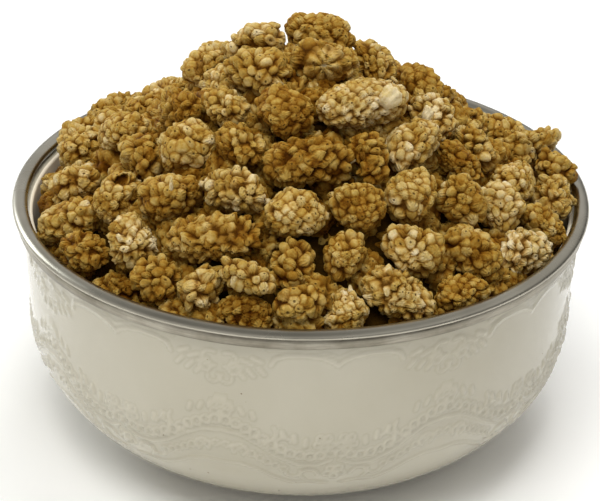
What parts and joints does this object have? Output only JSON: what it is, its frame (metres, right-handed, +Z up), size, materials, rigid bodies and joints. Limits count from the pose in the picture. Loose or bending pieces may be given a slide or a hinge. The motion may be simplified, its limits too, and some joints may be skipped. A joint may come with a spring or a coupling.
{
  "type": "bowl of dried white mulberries",
  "caption": "Round glazed bowl with a metal rim band, heaped above its rim with loose dried white mulberries.",
  "frame": {"origin": "middle of the bowl's flat base, on the surface that it stands on", "axes": "+Z up along the bowl's axis, -Y towards the front of the picture, +X to its right"},
  "size_m": [0.152, 0.152, 0.1114],
  "materials": {
    "glaze": "gloss",
    "rim_metal": "satin",
    "mulberry_heap": "matte",
    "mulberry_pale": "matte",
    "mulberry_honey": "matte",
    "mulberry_amber": "matte"
  },
  "bodies": {
    "root": {"bowl": "glaze", "rim_band": "rim_metal", "mulberry_heap": "mulberry_heap", "mulberry_01": "mulberry_honey", "mulberry_02": "mulberry_amber", "mulberry_03": "mulberry_amber", "mulberry_04": "mulberry_pale", "mulberry_05": "mulberry_honey", "mulberry_06": "mulberry_honey", "mulberry_07": "mulberry_amber", "mulberry_08": "mulberry_pale", "mulberry_09": "mulberry_pale", "mulberry_10": "mulberry_pale", "mulberry_11": "mulberry_amber", "mulberry_12": "mulberry_amber", "mulberry_13": "mulberry_pale", "mulberry_14": "mulberry_honey", "mulberry_15": "mulberry_honey", "mulberry_16": "mulberry_pale", "mulberry_17": "mulberry_amber", "mulberry_18": "mulberry_honey", "mulberry_19": "mulberry_honey", "mulberry_20": "mulberry_honey", "mulberry_21": "mulberry_amber", "mulberry_22": "mulberry_honey", "mulberry_23": "mulberry_pale", "mulberry_24": "mulberry_pale", "mulberry_25": "mulberry_honey", "mulberry_26": "mulberry_pale", "mulberry_27": "mulberry_honey", "mulberry_28": "mulberry_pale", "mulberry_29": "mulberry_honey", "mulberry_30": "mulberry_amber", "mulberry_31": "mulberry_amber", "mulberry_32": "mulberry_honey", "mulberry_33": "mulberry_pale", "mulberry_34": "mulberry_honey", "mulberry_35": "mulberry_honey", "mulberry_36": "mulberry_amber", "mulberry_37": "mulberry_pale", "mulberry_38": "mulberry_pale", "mulberry_39": "mulberry_amber", "mulberry_40": "mulberry_amber", "mulberry_41": "mulberry_honey", "mulberry_42": "mulberry_pale", "mulberry_43": "mulberry_pale", "mulberry_44": "mulberry_amber", "mulberry_45": "mulberry_honey", "mulberry_46": "mulberry_pale", "mulberry_47": "mulberry_amber", "mulberry_48": "mulberry_honey", "mulberry_49": "mulberry_honey", "mulberry_50": "mulberry_pale", "mulberry_51": "mulberry_honey", "mulberry_52": "mulberry_honey", "mulberry_53": "mulberry_amber", "mulberry_54": "mulberry_honey", "mulberry_55": "mulberry_honey", "mulberry_56": "mulberry_pale", "mulberry_57": "mulberry_honey"}
  },
  "joints": []
}
